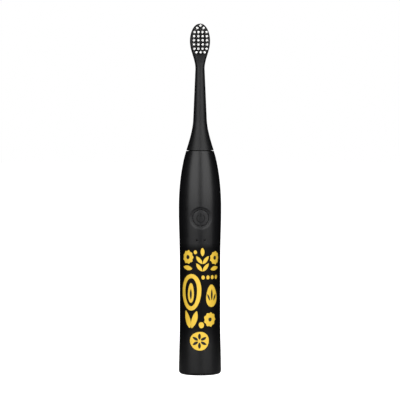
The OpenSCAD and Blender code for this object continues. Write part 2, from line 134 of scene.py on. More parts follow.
def texture(
    tree: Tree,
    place: Socket,
    kind: str,
    size: float,
    inputs: dict | None = None,
    settings: dict | None = None,
    output: str = "Fac",
) -> Socket:
    """Adds one procedural texture of any kind, at its real size.

    Args:
        tree: the node tree that it goes into.
        place: the coordinates that it reads.
        kind: Blender's name for the node type.
        size: how far apart its features are, in millimetres.
        inputs: its other inputs.
        settings: its settings.
        output: the output to read.

    Returns:
        That output.
    """
    unit = WAVE_UNIT if kind == WAVE else 1.0
    given = {"Vector": place, "Scale": per_mm(size) * unit, **(inputs or {})}
    return add_node(tree, kind, settings, given).outputs[output]


def remapped(tree: Tree, place: Socket, **mapping: tuple[float, float, float]) -> Socket:
    """The same coordinates, scaled or turned."""
    return add_node(tree, MAPPING, inputs={"Vector": place, **mapping}).outputs["Vector"]


def box_mm(node: str) -> tuple[Vector, Vector]:
    """A CAD node's lowest and highest corners in millimetres."""
    low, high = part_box(node)
    return low / MM, high / MM


def steps(start: float, end: float, pitch: float) -> list[float]:
    """Values from start to end, both included, about one pitch apart."""
    count = max(1, round(abs(end - start) / pitch))
    return [start + (end - start) * i / count for i in range(count + 1)]


def ease(t: float) -> float:
    """Half a cosine wave from 0 to 1."""
    return (1 - math.cos(math.pi * t)) / 2


def soft_limit(value: float, limit: float, blend: float) -> float:
    """The smaller of two lengths, rounded off where they cross."""
    overlap = max(blend - abs(value - limit), 0.0) / blend
    return min(value, limit) - overlap * overlap * blend / 4


def arc(radius: float, degrees: range) -> Outline:
    """Points of an arc about the origin, as the sine and cosine parts of its radius."""
    turns = [math.radians(a) for a in degrees]
    return [(radius * math.sin(turn), radius * math.cos(turn)) for turn in turns]


def along(table: Outline, at: float) -> float:
    """Reads a short table of (position, value) pairs by straight lines between its rows."""
    if at <= table[0][0]:
        return table[0][1]
    for (a, low), (b, high) in zip(table, table[1:]):
        if at <= b:
            return low + (high - low) * (at - a) / (b - a)
    return table[-1][1]


# ---- finishes ----


@dataclass
class Grain:
    """What a finish's pattern drives: its colour, its gloss, its relief and maybe its shine."""

    tone: Socket
    gloss: Socket
    height: Socket
    shine: Socket | None = None


@dataclass(frozen=True)
class Finish:
    """A surface finish: what the material is, how it is coloured and how smooth it is.

    The colour runs from deep to tint and the roughness from rough_low to rough_high along the
    pattern that a subclass draws, and relief is the pattern's depth in millimetres.
    """

    name: str
    tint: str
    deep: str
    rough_low: float
    rough_high: float
    relief: float
    ior: float = 1.5
    metallic: float = 0.0
    coat: float = 0.0
    subsurface: float = 0.0
    specular: float = 0.5

    def pattern(self, tree: Tree, place: Socket) -> Grain:
        """Draws the finish's pattern; every subclass has its own."""
        raise NotImplementedError

    def build(self) -> bpy.types.Material:
        """Makes the node material, once.

        Returns:
            The material, shared by every piece with this finish.
        """
        ready = bpy.data.materials.get(self.name)
        if ready:
            return ready
        material = bpy.data.materials.new(self.name)
        tree = blank_tree(material)
        coords = add_node(tree, "ShaderNodeTexCoord")
        mapping = add_node(tree, MAPPING, inputs={"Vector": coords.outputs["Object"]})
        grain = self.pattern(tree, mapping.outputs["Vector"])
        ramp = add_node(tree, "ShaderNodeValToRGB", inputs={"Fac": grain.tone})
        ramp.color_ramp.elements[0].color = linear(self.deep)
        ramp.color_ramp.elements[1].color = linear(self.tint)
        reach = {"Value": grain.gloss, "To Min": self.rough_low, "To Max": self.rough_high}
        gloss = add_node(tree, MAP_RANGE, inputs=reach)
        relief = {"Height": grain.height, "Distance": self.relief * MM}
        bump = add_node(tree, "ShaderNodeBump", inputs=relief)
        shader = add_node(
            tree,
            PRINCIPLED,
            inputs={
                "Base Color": ramp.outputs["Color"],
                "Roughness": gloss.outputs["Result"],
                "Normal": bump.outputs["Normal"],
                "IOR": self.ior,
                "Specular IOR Level": grain.shine or self.specular,
                "Metallic": self.metallic,
                "Coat Weight": self.coat,
                "Coat Roughness": 0.12,
                "Subsurface Weight": self.subsurface,
                "Subsurface Radius": (1.0, 1.0, 1.0),
                "Subsurface Scale": 0.3 * MM,
            },
        )
        add_node(tree, "ShaderNodeOutputMaterial", inputs={"Surface": shader.outputs["BSDF"]})
        return material


@dataclass(frozen=True)
class SoftTouchPaint(Finish):
    """Soft-touch lacquer sprayed over ABS: satin black with a fine orange peel.

    The eye gets broad soft highlights that break up very slightly, and patches a hand has
    polished. Real peel is about 0.4 mm, drawn coarser so that it shows.
    """

    peel: float = 0.9
    polish: float = 22.0

    def pattern(self, tree: Tree, place: Socket) -> Grain:
        """Fine peel for the relief, wide soft clouds for the polish."""
        peel = texture(tree, place, NOISE, self.peel, {"Detail": 3.0})
        clouds = texture(tree, place, NOISE, self.polish, {"Detail": 2.0})
        return Grain(clouds, clouds, peel)


@dataclass(frozen=True)
class MouldedPlastic(Finish):
    """An injection moulding off a spark-eroded tool: an even fine grain and faint flow clouds.

    The eye gets a dry, slightly uneven gloss. Tool grain is 0.03 to 0.1 mm, drawn coarser.
    """

    grain: float = 0.5
    flow: float = 9.0

    def pattern(self, tree: Tree, place: Socket) -> Grain:
        """Tool grain for the relief and the gloss, flow clouds for the colour."""
        grain = texture(tree, place, NOISE, self.grain, {"Detail": 4.0})
        flow = texture(tree, place, NOISE, self.flow, {"Detail": 2.0, "Distortion": 0.6})
        return Grain(flow, grain, grain)


@dataclass(frozen=True)
class PadPrintInk(Finish):
    """Two-part ink laid on by a silicone pad: a thin opaque film with pinholes and soft edges.

    The eye gets a flat colour that is a shade thinner where the pad left it uneven.
    """

    pinhole: float = 0.45
    cloud: float = 3.5

    def pattern(self, tree: Tree, place: Socket) -> Grain:
        """Clouds of film thickness for the colour, pinholes for the relief."""
        cloud = texture(tree, place, NOISE, self.cloud, {"Detail": 5.0, "Roughness": 0.6})
        pits = texture(tree, place, VORONOI, self.pinhole, output="Distance")
        return Grain(cloud, pits, pits)


@dataclass(frozen=True)
class FadingGround(PadPrintInk):
    """A matt printed ground that thins out in fine dots towards its two ends.

    The eye gets no line where the print stops: the lacquer's shine comes back little by little.
    The dots are too fine to see, so they are drawn as a smooth fade.
    """

    start: float = 20.0
    solid_low: float = 33.0
    solid_high: float = 87.0
    end: float = 90.5
    bare: float = 0.5

    def pattern(self, tree: Tree, place: Socket) -> Grain:
        """The ink's own pattern, with its shine rising towards both ends."""
        up = add_node(tree, "ShaderNodeSeparateXYZ", inputs={"Vector": place}).outputs["Z"]
        fades = [
            add_node(
                tree, MAP_RANGE, inputs={"Value": up, "From Min": solid * MM, "From Max": bare * MM}
            ).outputs["Result"]
            for solid, bare in ((self.solid_low, self.start), (self.solid_high, self.end))
        ]
        share = add_node(tree, "ShaderNodeMath", {"operation": "MAXIMUM"}, dict(enumerate(fades)))
        reach = {"Value": share.outputs["Value"], "To Min": self.specular, "To Max": self.bare}
        grain = super().pattern(tree, place)
        grain.shine = add_node(tree, MAP_RANGE, inputs=reach).outputs["Result"]
        return grain


@dataclass(frozen=True)
class NylonFilament(Finish):
    """Extruded nylon, cut and end-rounded: milky white, with drawing lines along each filament."""

    streak: float = 0.12

    def pattern(self, tree: Tree, place: Socket) -> Grain:
        """Noise stretched along the filaments, which run front to back."""
        lines = texture(tree, remapped(tree, place, Scale=(1.0, 0.04, 1.0)), NOISE, self.streak)
        return Grain(lines, lines, lines)


@dataclass(frozen=True)
class TurnedMetal(Finish):
    """Metal turned or ground on a lathe: fine tool rings round the brush's own axis.

    The rings are 0.02 to 0.05 mm apart on a ground shaft, drawn at a fifth of a millimetre.
    """

    ring: float = 0.2
    smear: float = 1.6

    def pattern(self, tree: Tree, place: Socket) -> Grain:
        """Rings up the axis, with a smear of noise in their gloss."""
        up = {"wave_type": "BANDS", "bands_direction": "Z"}
        rings = texture(tree, place, WAVE, self.ring, {"Distortion": 0.4}, up)
        smear = texture(tree, place, NOISE, self.smear, {"Detail": 3.0})
        return Grain(smear, smear, rings)


@dataclass(frozen=True)
class RolledMetal(Finish):
    """Cold-rolled strip or a drawn can: rolling lines lengthways and a few dull patches."""

    line: float = 0.25
    patch: float = 4.0

    def pattern(self, tree: Tree, place: Socket) -> Grain:
        """Noise stretched lengthways for the lines, plain noise for the patches."""
        rolled = remapped(tree, place, Scale=(1.0, 1.0, 0.05))
        lines = texture(tree, rolled, NOISE, self.line, {"Detail": 2.0})
        patches = texture(tree, place, NOISE, self.patch)
        return Grain(patches, lines, lines)


@dataclass(frozen=True)
class BandedStack(Finish):
    """Turns of wire or sheets of steel, stacked up the axis: one ridge for each turn or sheet, with
    painted shade in the groove between them.
    """

    pitch: float = 0.3
    wear: float = 2.5
    saw: bool = False

    def pattern(self, tree: Tree, place: Socket) -> Grain:
        """Bands one pitch apart, a little uneven, as turns laid by a machine are; the colour darkens where
        the bands sink, as painted shade in the grooves.
        """
        up = {"bands_direction": "Z", "wave_profile": "SAW" if self.saw else "SIN"}
        bands = texture(tree, place, WAVE, self.pitch, {"Distortion": 0.3}, up)
        wear = texture(tree, place, NOISE, self.wear, {"Detail": 3.0})
        # the bands darken the colour in every groove that the relief sinks: painted shade between the
        # turns and the sheets
        return Grain(bands, wear, bands)


@dataclass(frozen=True)
class CuredRubber(Finish):
    """Moulded rubber: a dry matt skin with a pale bloom of mould release and dust."""

    bloom: float = 1.4
    skin: float = 0.3

    def pattern(self, tree: Tree, place: Socket) -> Grain:
        """Bloom in patches over a pebbled skin."""
        bloom = texture(tree, place, NOISE, self.bloom, {"Detail": 6.0, "Roughness": 0.7})
        skin = texture(tree, place, VORONOI, self.skin, output="Distance")
        return Grain(bloom, bloom, skin)


@dataclass(frozen=True)
class CellularFoam(Finish):
    """Closed-cell foam, skived to a sheet: round cells cut open on a dull skin."""

    cell: float = 0.5

    def pattern(self, tree: Tree, place: Socket) -> Grain:
        """Cells from a Voronoi pattern, sunk and dark in their middles: the dark is painted shade in the
        cut-open cells.
        """
        cells = texture(tree, place, VORONOI, self.cell, output="Distance")
        # the cell pattern darkens the colour where the relief sinks: painted shade in the cut-open cells
        return Grain(cells, cells, cells)


@dataclass(frozen=True)
class SolderMask(Finish):
    """Etched copper under green solder mask: paler tracks show through and stand a little proud."""

    track: float = 1.3
    weave: float = 0.5

    def pattern(self, tree: Tree, place: Socket) -> Grain:
        """Tracks run as a brick pattern laid flat on the board, which faces the front."""
        flat = remapped(tree, place, Rotation=(math.radians(90), 0.0, 0.0))
        bricks = {
            "Color1": (1.0, 1.0, 1.0, 1.0),
            "Color2": (0.7, 0.7, 0.7, 1.0),
            "Mortar": (0.0, 0.0, 0.0, 1.0),
            "Mortar Size": 0.12,
            "Brick Width": 2.6,
            "Row Height": 0.7,
        }
        tracks = texture(tree, flat, BRICK, self.track, bricks, output="Color")
        weave = texture(tree, place, NOISE, self.weave)
        return Grain(tracks, weave, tracks)


@dataclass(frozen=True)
class PittedCasting(Finish):
    """Sintered or pressed grit, from powder: tiny open pores and a mixed grain colour."""

    pore: float = 0.25
    grit: float = 0.4

    def pattern(self, tree: Tree, place: Socket) -> Grain:
        """Pores from a Voronoi pattern, grain colour from noise."""
        pores = texture(tree, place, VORONOI, self.pore, output="Distance")
        grit = texture(tree, place, NOISE, self.grit, {"Detail": 4.0})
        return Grain(grit, grit, pores)


SOFT_TOUCH = SoftTouchPaint("soft_touch_lacquer", "#0d0d0f", "#09090a", 0.32, 0.38, 0.006)
HEAD_PLASTIC = MouldedPlastic(
    "satin_polypropylene", "#0e0e10", "#0a0a0b", 0.40, 0.48, 0.006, ior=1.49, specular=0.4
)
BUTTON_SKIN = SoftTouchPaint("button_soft_touch", "#111113", "#0c0c0d", 0.33, 0.40, 0.006)
BUTTON_INK = PadPrintInk("button_mark_ink", "#070708", "#040405", 0.42, 0.52, 0.003, specular=0.25)
CAP_PLASTIC = MouldedPlastic("moulded_abs_black", "#131315", "#0c0c0e", 0.28, 0.42, 0.008, ior=1.53)
COLLAR_PLASTIC = MouldedPlastic("glass_filled_pbt", "#1a1a1c", "#101011", 0.34, 0.5, 0.01, ior=1.55)
YELLOW_INK = PadPrintInk("pad_print_yellow", "#ddb93f", "#d6af33", 0.42, 0.55, 0.004)
GROUND_INK = FadingGround("matt_print_ground", "#0c0c0d", "#070708", 0.33, 0.4, 0.004, specular=0.12)
BLACK_INK = PadPrintInk("pad_print_black", "#121213", "#0b0b0c", 0.36, 0.5, 0.004)
NYLON = NylonFilament("drawn_nylon", "#ffffff", "#f3f3ef", 0.3, 0.45, 0.003, ior=1.53, subsurface=0.12)

SLOT_FINISHES: dict[str, Finish] = {
    "soft_touch_black": SOFT_TOUCH,
    "gloss_black": CAP_PLASTIC,
    "head_black": HEAD_PLASTIC,
    "button_black": BUTTON_SKIN,
    "bristle": NYLON,
    "seal_rubber": CuredRubber("moulded_silicone", "#7c2b22", "#64201a", 0.5, 0.7, 0.01, ior=1.41),
    "black_rubber": CuredRubber("nitrile_rubber", "#262628", "#161618", 0.55, 0.8, 0.01, ior=1.52),
    "chassis_plastic": MouldedPlastic(
        "glass_filled_nylon", "#cfcabb", "#b9b3a2", 0.42, 0.6, 0.015, ior=1.53
    ),
    "acetal": MouldedPlastic("machined_acetal", "#dedad0", "#cfcabd", 0.3, 0.42, 0.006, ior=1.48),
    # the deep colour here is painted shade in the grooves between the turns of wire
    "copper_wire": BandedStack(
        "enamelled_copper_wire", "#c8743e", "#6d3417", 0.18, 0.34, 0.06, metallic=1.0, pitch=0.3
    ),
    "cell_metal": RolledMetal("nickel_plated_can", "#c3c6c8", "#a3a6a8", 0.2, 0.38, 0.004, metallic=1.0),
    "cell_wrap": MouldedPlastic(
        "shrunk_pvc_sleeve", "#2d5f9e", "#234c83", 0.2, 0.34, 0.02, ior=1.54, grain=2.2
    ),
    # the deep colour here is painted shade in the sunken middles of the cut-open cells
    "foam": CellularFoam("closed_cell_foam", "#46464a", "#202023", 0.8, 0.95, 0.05),
    "nickel": RolledMetal("nickel_strip", "#c9c6bf", "#a39f96", 0.22, 0.42, 0.006, metallic=1.0),
    "board_green": SolderMask("solder_mask_green", "#2c7a43", "#164b27", 0.25, 0.4, 0.03, ior=1.55),
    "chip_black": MouldedPlastic("moulded_epoxy", "#2a2a2c", "#19191b", 0.5, 0.7, 0.012, ior=1.55),
    "ceramic_part": PittedCasting("fired_ceramic", "#b3905f", "#8b6c45", 0.4, 0.6, 0.008, ior=1.7),
    "lamp_white": MouldedPlastic(
        "cast_epoxy_lens", "#f1f0e4", "#e0ddca", 0.1, 0.2, 0.002, ior=1.54, coat=0.5
    ),
    "smoke_lens": MouldedPlastic(
        "smoked_polycarbonate", "#060607", "#020202", 0.1, 0.2, 0.002, ior=1.58, coat=0.3
    ),
    "steel": TurnedMetal("ground_stainless_steel", "#d2d4d6", "#aeb1b4", 0.16, 0.3, 0.004, metallic=1.0),
    # the deep colour here is painted shade in the grooves between the sheets
    "laminated_steel": BandedStack(
        "stacked_laminations", "#8e9194", "#4c4f52", 0.3, 0.5, 0.06, metallic=1.0, pitch=0.5, saw=True
    ),
    "magnet_plate": RolledMetal(
        "nickel_plated_magnet", "#cfd1d2", "#b5b7b9", 0.12, 0.24, 0.003, metallic=1.0
    ),
    "dark_plastic": COLLAR_PLASTIC,
    "bronze": PittedCasting("sintered_bronze", "#a9804a", "#6f5129", 0.35, 0.55, 0.03, metallic=1.0),
    "brass_anchor": RolledMetal("brass_strip", "#d9b765", "#b08f45", 0.2, 0.36, 0.004, metallic=1.0),
    "lead_red": CuredRubber("red_pvc_insulation", "#b02a26", "#8d1f1c", 0.3, 0.45, 0.006, ior=1.54),
    "lead_yellow": CuredRubber("yellow_pvc_insulation", "#d8ad2a", "#b98f1d", 0.3, 0.45, 0.006, ior=1.54),
}


# ---- mesh making, in millimetres ----


def turned(profile: Outline, sides: int, closed: bool = True) -> BMesh:
    """Spins an outline of (radius, height) points round the Z axis.

    Args:
        profile: the outline in millimetres.
        sides: how many steps the full turn takes.
        closed: whether the last point joins the first, as round a tube's wall.

    Returns:
        The turned mesh, with its seam and poles merged.
    """
    bm = bmesh.new()
    verts = [bm.verts.new((radius, 0, z)) for radius, z in profile]
    pairs = list(zip(verts, verts[1:]))
    if closed:
        pairs.append((verts[-1], verts[0]))
    edges = [bm.edges.new(pair) for pair in pairs]
    bmesh.ops.spin(
        bm,
        geom=verts + edges,
        cent=(0, 0, 0),
        axis=(0, 0, 1),
        angle=2 * math.pi,
        steps=sides,
        use_merge=True,
    )
    bmesh.ops.remove_doubles(bm, verts=bm.verts[:], dist=WELD)
    return bm


def next_ring(bm: BMesh, rim: Edges, place: Move) -> Edges:
    """Extrudes a ring of edges and moves the new ring.

    Args:
        bm: the mesh.
        rim: the open ring to start from.
        place: where a vertex of the new ring goes, from where it was.

    Returns:
        The new open ring.
    """
    grown = bmesh.ops.extrude_edge_only(bm, edges=rim)["geom"]
    fresh = {g for g in grown if isinstance(g, bmesh.types.BMVert)}
    for vert in fresh:
        vert.co = place(vert.co)
    return [g for g in grown if isinstance(g, bmesh.types.BMEdge) and all(v in fresh for v in g.verts)]


def onto_ring(centre: tuple[float, float], radius: float, depth: Callable[[float, float], float]) -> Move:
    """A move onto a ring round a place on the front.

    Args:
        centre: the ring's centre across and up.
        radius: its radius.
        depth: its Y at a place across and up.

    Returns:
        The move, from where a vertex was to where it goes.
    """
    across, up = centre

    def place(at: Vector) -> Vector:
        reach = radius / math.hypot(at.x - across, at.z - up)
        x = across + (at.x - across) * reach
        z = up + (at.z - up) * reach
        return Vector((x, depth(x, z), z))

    return place


def open_round(
    bm: BMesh,
    skin: Faces,
    centre: tuple[float, float],
    radius: float,
    depth: Callable[[float, float], float],
) -> Edges:
    """Opens a round hole in a fine skin that faces the front.

    The cells that reach inside the circle go, and the ragged edge is drawn onto the circle.

    Args:
        bm: the mesh.
        skin: the faces that may be cut.
        centre: the hole's centre across and up.
        radius: the hole's radius.
        depth: the skin's Y at a place across and up.

    Returns:
        The hole's rim.
    """
    across, up = centre
    cut = [f for f in skin if any(math.hypot(v.co.x - across, v.co.z - up) < radius for v in f.verts)]
    uses = Counter(edge for face in cut for edge in face.edges)
    rim = [edge for edge, count in uses.items() if count == 1]
    bmesh.ops.delete(bm, geom=cut, context="FACES")
    place = onto_ring(centre, radius, depth)
    for vert in {v for edge in rim for v in edge.verts}:
        vert.co = place(vert.co)
    return rim


def mesh_of(bm: BMesh, name: str) -> bpy.types.Mesh:
    """Turns a bmesh into a mesh and frees it."""
    mesh = bpy.data.meshes.new(name)
    bm.to_mesh(mesh)
    bm.free()
    return mesh


def placed(name: str, data: bpy.types.ID) -> bpy.types.Object:
    """Puts a mesh, lamp or camera into the scene as an object at the origin."""
    holder = bpy.data.objects.new(name, data)
    bpy.context.scene.collection.objects.link(holder)
    return holder


def settle(
    bm: BMesh,
    name: str,
    finish: Finish,
    body: str,
    slot: str,
    stands_for: tuple[str, ...] = (),
    sharp: float = 35.0,
) -> bpy.types.Object:
    """Turns a mesh in millimetres into a finished piece in metres.

    Args:
        bm: the mesh, which is freed.
        name: the piece's name.
        finish: its finish.
        body: the CAD body that it rides on.
        slot: the record's material slot for the piece; not used.
        stands_for: the CAD nodes that it replaces.
        sharp: edges that turn by more than this many degrees stay crisp.

    Returns:
        The piece.
    """
    bmesh.ops.remove_doubles(bm, verts=bm.verts[:], dist=WELD)
    bmesh.ops.recalc_face_normals(bm, faces=bm.faces[:])
    loose = sum(1 for edge in bm.edges if len(edge.link_faces) != 2)
    bmesh.ops.scale(bm, vec=(MM, MM, MM), verts=bm.verts[:])
    mesh = mesh_of(bm, name)
    mesh.shade_smooth()
    mesh.set_sharp_from_angle(angle=math.radians(sharp))
    mesh.materials.append(finish.build())
    piece = placed(name, mesh)
    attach(piece, body)
    if stands_for:
        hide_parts(*stands_for)
    log.info("%s: %d faces, %d open edges, %s", name, len(mesh.polygons), loose, finish.name)
    return piece


# ---- handle ----


@dataclass
class HandleForm:
    """The handle's outer surface as a radius at each height, in millimetres."""

    height: float
    belly_radius: float
    belly_height: float = 113.5
    base_radius: float = 14.55
    waist_radius: float = 13.95
    lip_radius: float = 9.45
    rise_height: float = 70.0
    rise_power: float = 1.3
    flare_height: float = 36.0
    foot: float = 1.9
    bore: float = 11.95
    wall: float = 2.0
    rim_radius: float = 8.2
    rim: float = 0.2

    @classmethod
    def from_frame(cls) -> "HandleForm":
        """Reads the handle's height, less its raised rim, and widest radius from its CAD node."""
        low, high = box_mm("handle_shell")
        return cls(height=high.z - cls.rim, belly_radius=(high.x - low.x) / 2)

    def radius(self, z: float) -> float:
        """The outside radius at one height.

        Args:
            z: the height.

        Returns:
            The radius.
        """
        if z < self.foot:
            return self.base_radius - self.foot + math.sqrt(self.foot**2 - (self.foot - z) ** 2)
        if z < self.flare_height:
            down = ease((z - self.foot) / (self.flare_height - self.foot))
            return self.base_radius + (self.waist_radius - self.base_radius) * down
        if z < self.rise_height:
            return self.waist_radius
        if z < self.belly_height:
            up = ease((z - self.rise_height) / (self.belly_height - self.rise_height))
            return self.waist_radius + (self.belly_radius - self.waist_radius) * up**self.rise_power
        narrowing = math.sqrt(1 - (self.lip_radius / self.belly_radius) ** 2)
        shoulder = (self.height - self.belly_height) / narrowing
        return self.belly_radius * math.sqrt(1 - ((z - self.belly_height) / shoulder) ** 2)

    def inner(self, z: float) -> float:
        """The inside radius at one height: the bore, then the shoulder less its wall."""
        return min(self.bore, self.radius(z) - self.wall)

    def front(self, x: float, z: float) -> float:
        """The outer surface's Y on the front, at a place across and up."""
        return -math.sqrt(self.radius(z) ** 2 - x * x)

    def inner_front(self, x: float, z: float) -> float:
        """The inner surface's Y on the front, at a place across and up."""
        return -math.sqrt(self.inner(z) ** 2 - x * x)


@dataclass
class Button:
    """The power button, its dish in the shell and the mark on its face, in millimetres."""

    form: HandleForm
    height: float
    radius: float = 5.5
    gap: float = 0.1
    inset: float = 0.1
    seat: float = 10.85
    flange: float = 6.1
    pocket: float = 3.3
    pocket_front: float = 11.4
    dish: Outline = field(
        default_factory=lambda: [
            (7.9, 0.0), (7.7, 0.01), (7.5, 0.03), (7.25, 0.07), (7.0, 0.12), (6.75, 0.155),
            (6.5, 0.17), (5.95, 0.175), (5.75, 0.21), (5.6, 0.32),
        ]
    )
    sides: int = 96

    @classmethod
    def from_frame(cls, form: HandleForm) -> "Button":
        """Centres the button on its CAD node."""
        low, high = box_mm("power_button")
        return cls(form=form, height=(low.z + high.z) / 2)

    def ring_place(self, radius: float, depth: float) -> Move:
        """A move onto a ring of the given radius, depth below the handle's surface."""
        return onto_ring((0.0, self.height), radius, lambda x, z: self.form.front(x, z) + depth)

    def flat_place(self, radius: float, y: float) -> Move:
        """A move onto a flat ring of the given radius at one Y."""
        return onto_ring((0.0, self.height), radius, lambda x, z: y)

    def build_cap(self) -> None:
        """Builds the button: a crowned face with a rolled edge, its skirt, flange and pocket."""
        bm = bmesh.new()
        turn = Matrix.Translation((0, 0, self.height)) @ Matrix.Rotation(math.radians(90), 4, "X")
        made = bmesh.ops.create_circle(bm, cap_ends=True, segments=self.sides, radius=0.6, matrix=turn)
        for vert in made["verts"]:
            vert.co.y = self.form.front(vert.co.x, vert.co.z) + self.inset
        rim = [edge for edge in bm.edges if len(edge.link_faces) == 1]
        crown = [(r, self.inset) for r in steps(1.2, 4.9, 0.6)]
        roll = [(5.1, 0.11), (5.28, 0.14), (5.4, 0.2), (5.47, 0.29), (self.radius, 0.4)]
        for radius, depth in crown + roll:
            rim = next_ring(bm, rim, self.ring_place(radius, depth))
        back = [
            (self.radius, -self.seat),
            (self.flange - 0.1, -self.seat),
            (self.flange, -self.seat + 0.1),
            (self.flange, -self.seat + 0.4),
            (self.pocket, -self.seat + 0.4),
            (self.pocket, -self.pocket_front),
        ]
        for radius, y in back:
            rim = next_ring(bm, rim, self.flat_place(radius, y))
        bmesh.ops.contextual_create(bm, geom=rim)
        settle(bm, "button_cap", BUTTON_SKIN, "button", "button_black", ("power_button",))

    def build_mark(self) -> None:
        """Builds the power sign on the button's face: a broken ring with a bar in the break."""
        bm = bmesh.new()
        inner, outer, half, proud, sunk = 2.35, 3.0, 0.32, -0.02, 0.05
        corners = [(inner, proud), (outer, proud), (outer, sunk), (inner, sunk)]
        verts = [bm.verts.new((radius, depth, 0)) for radius, depth in corners]
        start = bm.faces.new(verts)
        opening = math.radians(70)
        bmesh.ops.rotate(
            bm, verts=verts, cent=(0, 0, 0), matrix=Matrix.Rotation(-math.pi / 2 + opening / 2, 3, "Y")
        )
        bmesh.ops.spin(
            bm,
            geom=[start, *start.edges, *verts],
            cent=(0, 0, 0),
            axis=(0, 1, 0),
            angle=2 * math.pi - opening,
            steps=56,
            use_duplicate=False,
        )
        bar = bmesh.ops.create_cube(bm, size=1.0)["verts"]
        bmesh.ops.scale(bm, vec=(2 * half, sunk - proud, 2.8), verts=bar)
        bmesh.ops.translate(bm, vec=(0, (sunk + proud) / 2, 2.2), verts=bar)
        for z in steps(-3.0, 3.5, 0.35):
            geom = bm.verts[:] + bm.edges[:] + bm.faces[:]
            bmesh.ops.bisect_plane(bm, geom=geom, dist=WELD, plane_co=(0, 0, z), plane_no=(0, 0, 1))
        for vert in bm.verts:
            vert.co.z += self.height
            vert.co.y += self.form.front(vert.co.x, vert.co.z) + self.inset
        settle(bm, "button_power_sign", BUTTON_INK, "button", "button_mark")


@dataclass
class LampWindows:
    """The two charge-lamp windows under the button, in millimetres."""

    spots: Outline
    radius: float = 0.625
    zone: float = 1.5
    cuts: int = 3

    @classmethod
    def from_frame(cls) -> "LampWindows":
        """Puts a window over each light pipe."""
        spots = []
        for side in ("left", "right"):
            low, high = box_mm(f"light_pipe_{side}")
            spots.append(((low.x + high.x) / 2, (low.z + high.z) / 2))
        return cls(spots=spots)

    def place(self, form: HandleForm, spot: tuple[float, float], radius: float, depth: float) -> Move:
        """A move onto a ring round one window, depth below the handle's surface."""
        return onto_ring(spot, radius, lambda x, z: form.front(x, z) + depth)


